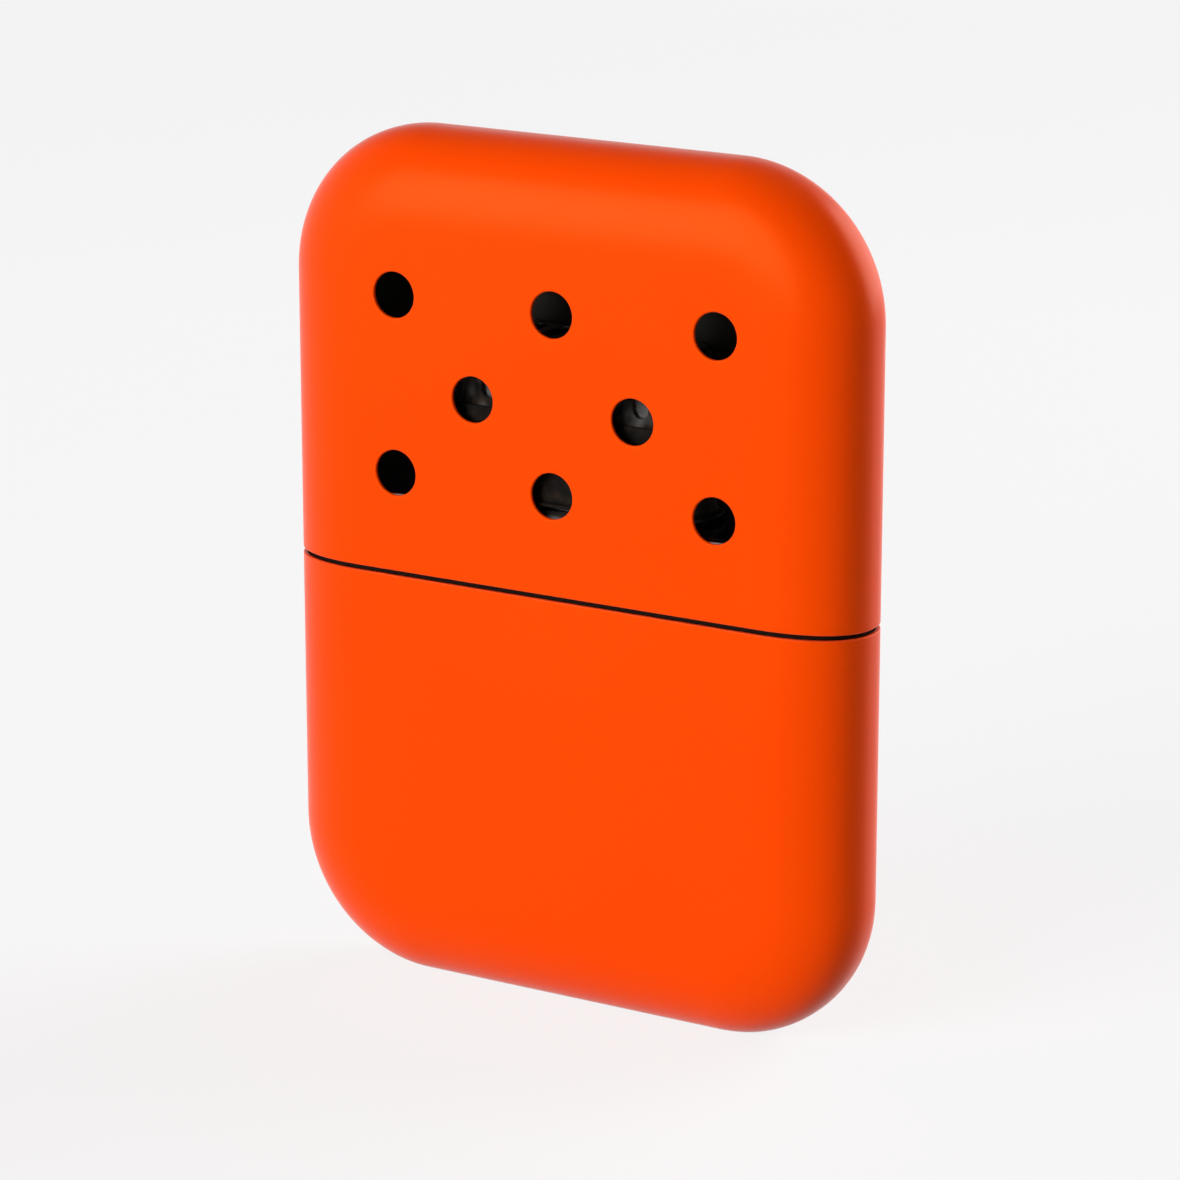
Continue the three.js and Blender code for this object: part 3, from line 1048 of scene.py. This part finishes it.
# A layer of cotton packing, as the metal round it and the layers beside it press it.
def makeCottonLayer(index, node):
    low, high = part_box(node)
    inset = width / 2 - high.x
    bm = bmesh.new()
    skinRings(bm, [outline(inset + back, y) for back, y in wholeEdge(inset)])
    for z, keepAbove in ((low.z, True), (high.z, False)):
        slicePlane(bm, z, keepAbove)
        bmesh.ops.contextual_create(bm, geom=openEdges(bm))
    wad = objectFrom(bm, f"cottonLayer{index}")
    remesh = wad.modifiers.new("remesh", "REMESH")
    remesh.mode = "VOXEL"
    remesh.voxel_size = cotton["voxel"]
    applyModifiers(wad)
    shift = Vector((0, 0, cotton["layerShift"] * index))

    def tufts(co, normal):
        lump = noise.noise((co + shift) / cotton["lumpPitch"])
        tuft = noise.fractal((co + shift) / cotton["tuftPitch"], *cotton["tuftFractal"])
        return -cotton["lumpDepth"] * (0.5 + 0.5 * lump) - cotton["tuftDepth"] * (0.5 + 0.5 * tuft)

    pushAlongNormals(wad, tufts)
    wad.data.shade_smooth()
    return wad


def makeCotton():
    hair = mattedHair("cottonHair", cotton["tone"], cotton["shadeTone"], cotton["clumpPitch"])
    for index in (1, 2, 3):
        node = f"cotton_layer_{index}"
        wad = makeCottonLayer(index, node)
        finishPiece(wad, "tank", "cotton", hair, node)


# Camera, light and floor
view = {
    "place": (243.5 * mm, -405.7 * mm, 179.8 * mm),
    "aim": (0.8 * mm, 0, 45.9 * mm),
    "lens": 140,
    "sensorWidth": 36,
    "nearest": 10 * mm,
    "furthest": 50,
}
studio = {
    "worldTone": (0.80, 0.80, 0.81),
    "worldStrength": 0.05,
    "horizonTone": (0.95, 0.95, 0.95),
    "horizonRise": 0.12,
    "zenithTone": (0.30, 0.30, 0.31),
    "zenithRise": 0.75,
    "keyPower": 35.5,
    "keyPlace": (-0.55, -1.50, 0.38),
    "keySize": 1.3,
    "topPower": 0.5,
    "topPlace": (0.05, 0.45, 1.15),
    "topSize": 1.0,
    "backPower": 34.0,
    "backPlace": (0.80, 1.35, 0.50),
    "backSize": 1.5,
    "glossShare": 0.25,
    "glossNearness": 0.98,
    "floorReach": 5.0,
    "floorSides": 96,
    "mottleScale": 9.0,
    "mottleShare": 0.99,
    "floorTone": (0.86, 0.86, 0.86),
    "bounceTone": (0.35, 0.35, 0.35),
    "floorGlow": 1.0,
    "floorGlowShare": 0.82,
    "farGlowShare": 0.905,
    "farFrom": 0.35,
    "farReach": 0.6,
}


def aimed(thing, place, target):
    thing.location = place
    away = Vector(place) - Vector(target)
    thing.rotation_euler = away.to_track_quat("Z", "Y").to_euler()
    bpy.context.scene.collection.objects.link(thing)


# A lamp, and a weaker one just in front of it that only gloss mirrors, so that no glare hides an edge.
def addLamp(name, power, place, size):
    for purpose, share, nearness, hidden in (
        ("Light", 1, 1, "visible_glossy"),
        ("Gloss", studio["glossShare"], studio["glossNearness"], "visible_diffuse"),
    ):
        lamp = bpy.data.lights.new(name + purpose, "AREA")
        lamp.shape = "DISK"
        lamp.size = size
        lamp.energy = share * power
        stand = bpy.data.objects.new(name + purpose, lamp)
        setattr(stand, hidden, False)
        aimed(stand, nearness * Vector(place), (0, 0, height / 2))


# Diffuse for the light that falls on the object, and mostly plain pale where the camera or a
# reflection sees it, with the object's shadow kept. Far off it only glows, so that no lamp shows on it.
def paleFloor():
    f = Finish("paleFloor")
    mottle = f.grain(studio["mottleScale"], detail=3.0)
    dimmer = tuple(studio["mottleShare"] * t for t in studio["bounceTone"])
    bounce = f.blend(mottle, studio["bounceTone"], dimmer)
    away = (f.along("x") ** 2.0 + f.along("y") ** 2.0) ** 0.5
    far = ((away - studio["farFrom"]) / studio["farReach"]).clamped()
    tone = f.blend(f.seen(), bounce, f.blend(far, studio["floorTone"], (0, 0, 0)))
    share = studio["floorGlowShare"] + (studio["farGlowShare"] - studio["floorGlowShare"]) * far
    plain = f.node("Emission", {}, {"Color": (1, 1, 1), "Strength": studio["floorGlow"]})
    matt = f.node("BsdfDiffuse", {}, {"Color": tone})
    shader = f.node("MixShader", {}, {"Fac": share * f.seen(), 1: matt, 2: plain})
    f.node("OutputMaterial", {}, {"Surface": shader})
    return f.material


# Soft even light, and a pale backdrop that is greyer overhead, so that bright metal shows its form.
def paleWorld():
    world = bpy.data.worlds.new("studio")
    w = Wiring(world)
    soft = {"Color": studio["worldTone"], "Strength": studio["worldStrength"]}
    direction = w.node("TexCoord", {}, {}, "Generated")
    rise = w.node("SeparateXYZ", {}, {"Vector": direction}, "Z")
    stops = [
        (0, studio["horizonTone"]),
        (studio["horizonRise"], studio["horizonTone"]),
        (studio["zenithRise"], studio["zenithTone"]),
    ]
    backdrop = w.node("ValToRGB", {"stops": stops}, {"Fac": rise}, "Color")
    light = w.node("Background", {}, soft)
    pale = w.node("Background", {}, {"Color": backdrop, "Strength": 1})
    shader = w.node("MixShader", {}, {"Fac": w.seen(), 1: light, 2: pale})
    w.node("OutputWorld", {}, {"Surface": shader})
    return world


def makeStage():
    camera = bpy.data.objects.new("camera", bpy.data.cameras.new("camera"))
    camera.data.lens = view["lens"]
    camera.data.sensor_width = view["sensorWidth"]
    camera.data.clip_start = view["nearest"]
    camera.data.clip_end = view["furthest"]
    aimed(camera, view["place"], view["aim"])
    bpy.context.scene.camera = camera
    for name in ("key", "top", "back"):
        addLamp(name, *(studio[name + value] for value in ("Power", "Place", "Size")))

    floor = bmesh.new()
    bmesh.ops.create_circle(
        floor, cap_ends=True, radius=studio["floorReach"], segments=studio["floorSides"]
    )
    ground = objectFrom(floor, "floor")
    ground.data.materials.append(paleFloor())

    bpy.context.scene.world = paleWorld()
    bpy.context.scene.view_settings.view_transform = "Standard"


makeStage()
print("camera, light and floor made")
makeLid()
print("lid made")
makeLowerCase()
print("lower case made")
makeCollar()
makeNeck()
print("collar and neck made")
makeBurnerBase()
makeCage()
makeScreen()
makeCatalyst()
print("burner made")
makeFelt()
makeCotton()
print("wick and cotton made")
